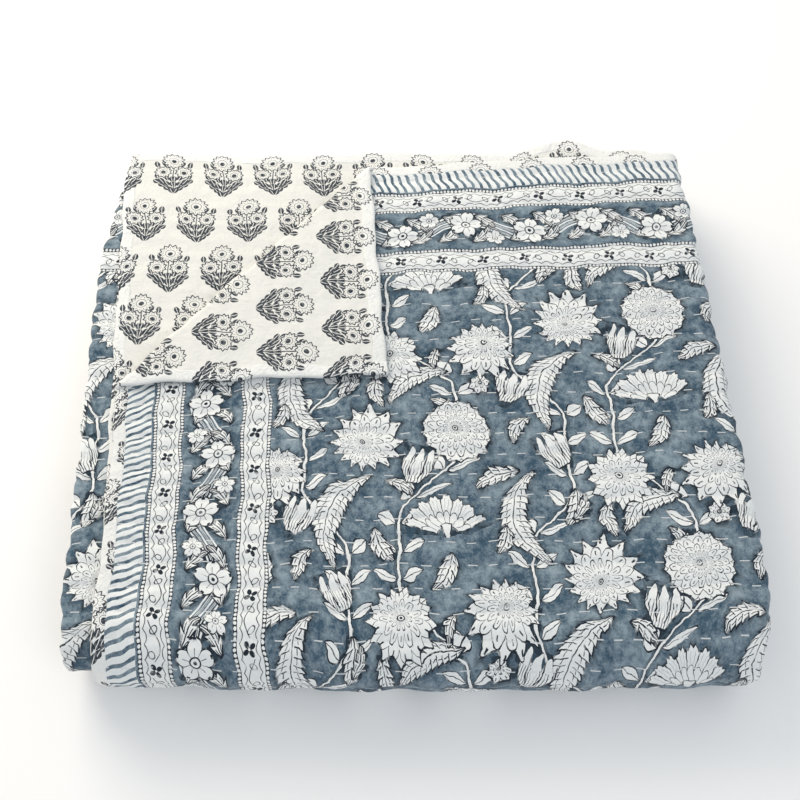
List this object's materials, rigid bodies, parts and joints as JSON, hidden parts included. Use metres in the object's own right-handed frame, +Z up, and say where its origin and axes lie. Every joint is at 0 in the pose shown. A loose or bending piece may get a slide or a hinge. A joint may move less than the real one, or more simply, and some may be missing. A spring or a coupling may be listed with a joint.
{
  "type": "bedspread",
  "caption": "Hand-quilted cotton bedspread folded in half twice each way into a flat pile, with one top corner turned back to show its reverse.",
  "frame": {"origin": "middle of the bounding box, on the plane the pile rests on", "axes": "+Z up through the layers, -Y to the side of the wide fold that faces the viewer, +X to the side fold on the viewer's right; the corner is turned back at -X +Y"},
  "size_m": [0.6295, 0.5847, 0.0977],
  "materials": {
    "quilted_cotton": "block-printed cotton, hand-quilted, matt; blue-grey and white on the face, cream with grey sprigs on the reverse",
    "binding_cotton": "the reverse's cream block-printed cotton, matt"
  },
  "bodies": {
    "root": {"quilt": "quilted_cotton", "side_binding_top": "binding_cotton", "side_binding_second": "binding_cotton", "end_binding_top": "binding_cotton", "end_binding_inner": "binding_cotton"}
  },
  "joints": []
}
